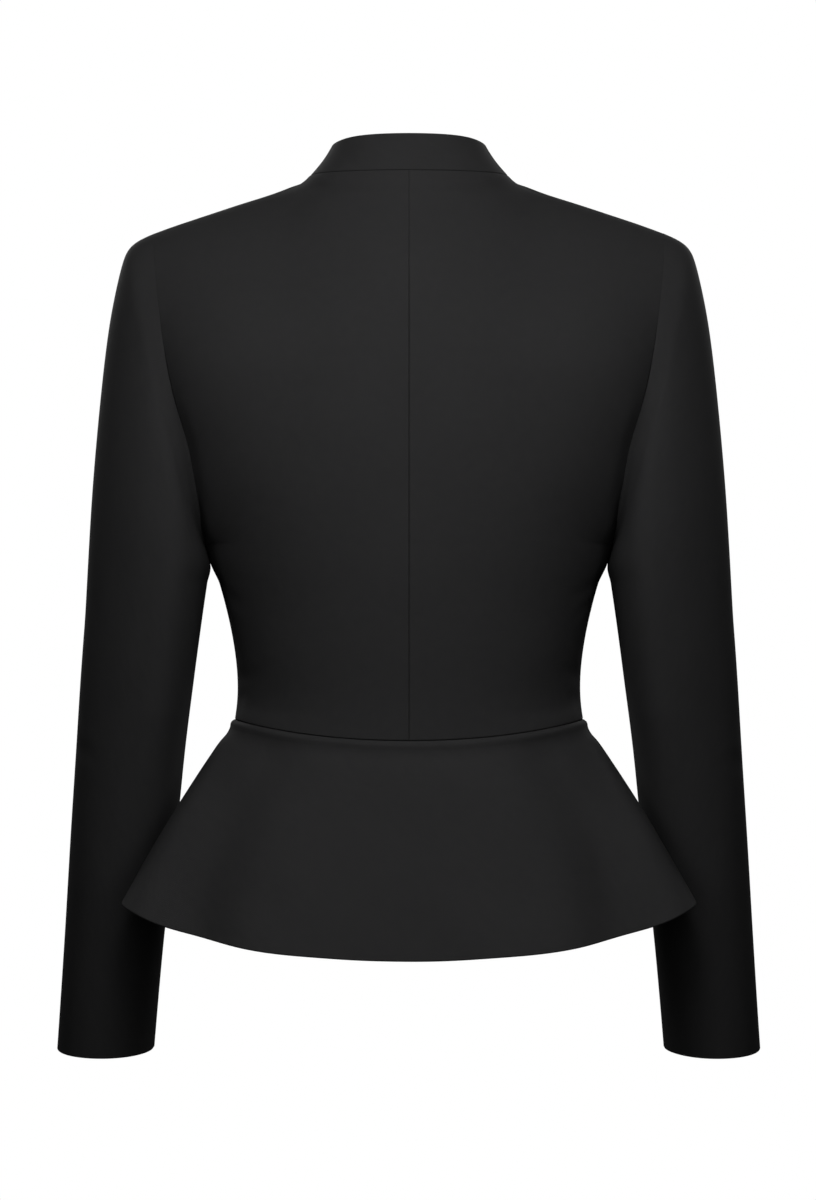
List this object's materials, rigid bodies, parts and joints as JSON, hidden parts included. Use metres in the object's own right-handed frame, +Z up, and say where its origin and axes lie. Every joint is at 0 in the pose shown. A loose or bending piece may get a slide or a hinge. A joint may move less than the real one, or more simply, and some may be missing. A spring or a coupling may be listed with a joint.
{
  "type": "peplum blazer",
  "caption": "Fitted black blazer in its worn form, with a stand collar, set-in straight sleeves, a lapped front and a flared peplum below a dipped waist seam.",
  "frame": {"origin": "the middle of the neck opening, at the height of the points where the shoulder seams meet the collar", "axes": "+Z up, the front faces -Y, the wearer's left is +X"},
  "size_m": [0.5386, 0.258, 0.6925],
  "materials": {
    "suiting": "matte black smooth suiting"
  },
  "bodies": {
    "root": {"back_left": "suiting", "back_right": "suiting", "front_left": "suiting", "front_right": "suiting", "peplum_back": "suiting", "peplum_front_left": "suiting", "peplum_front_right": "suiting", "collar": "suiting", "sleeve_left": "suiting", "sleeve_right": "suiting"}
  },
  "joints": []
}
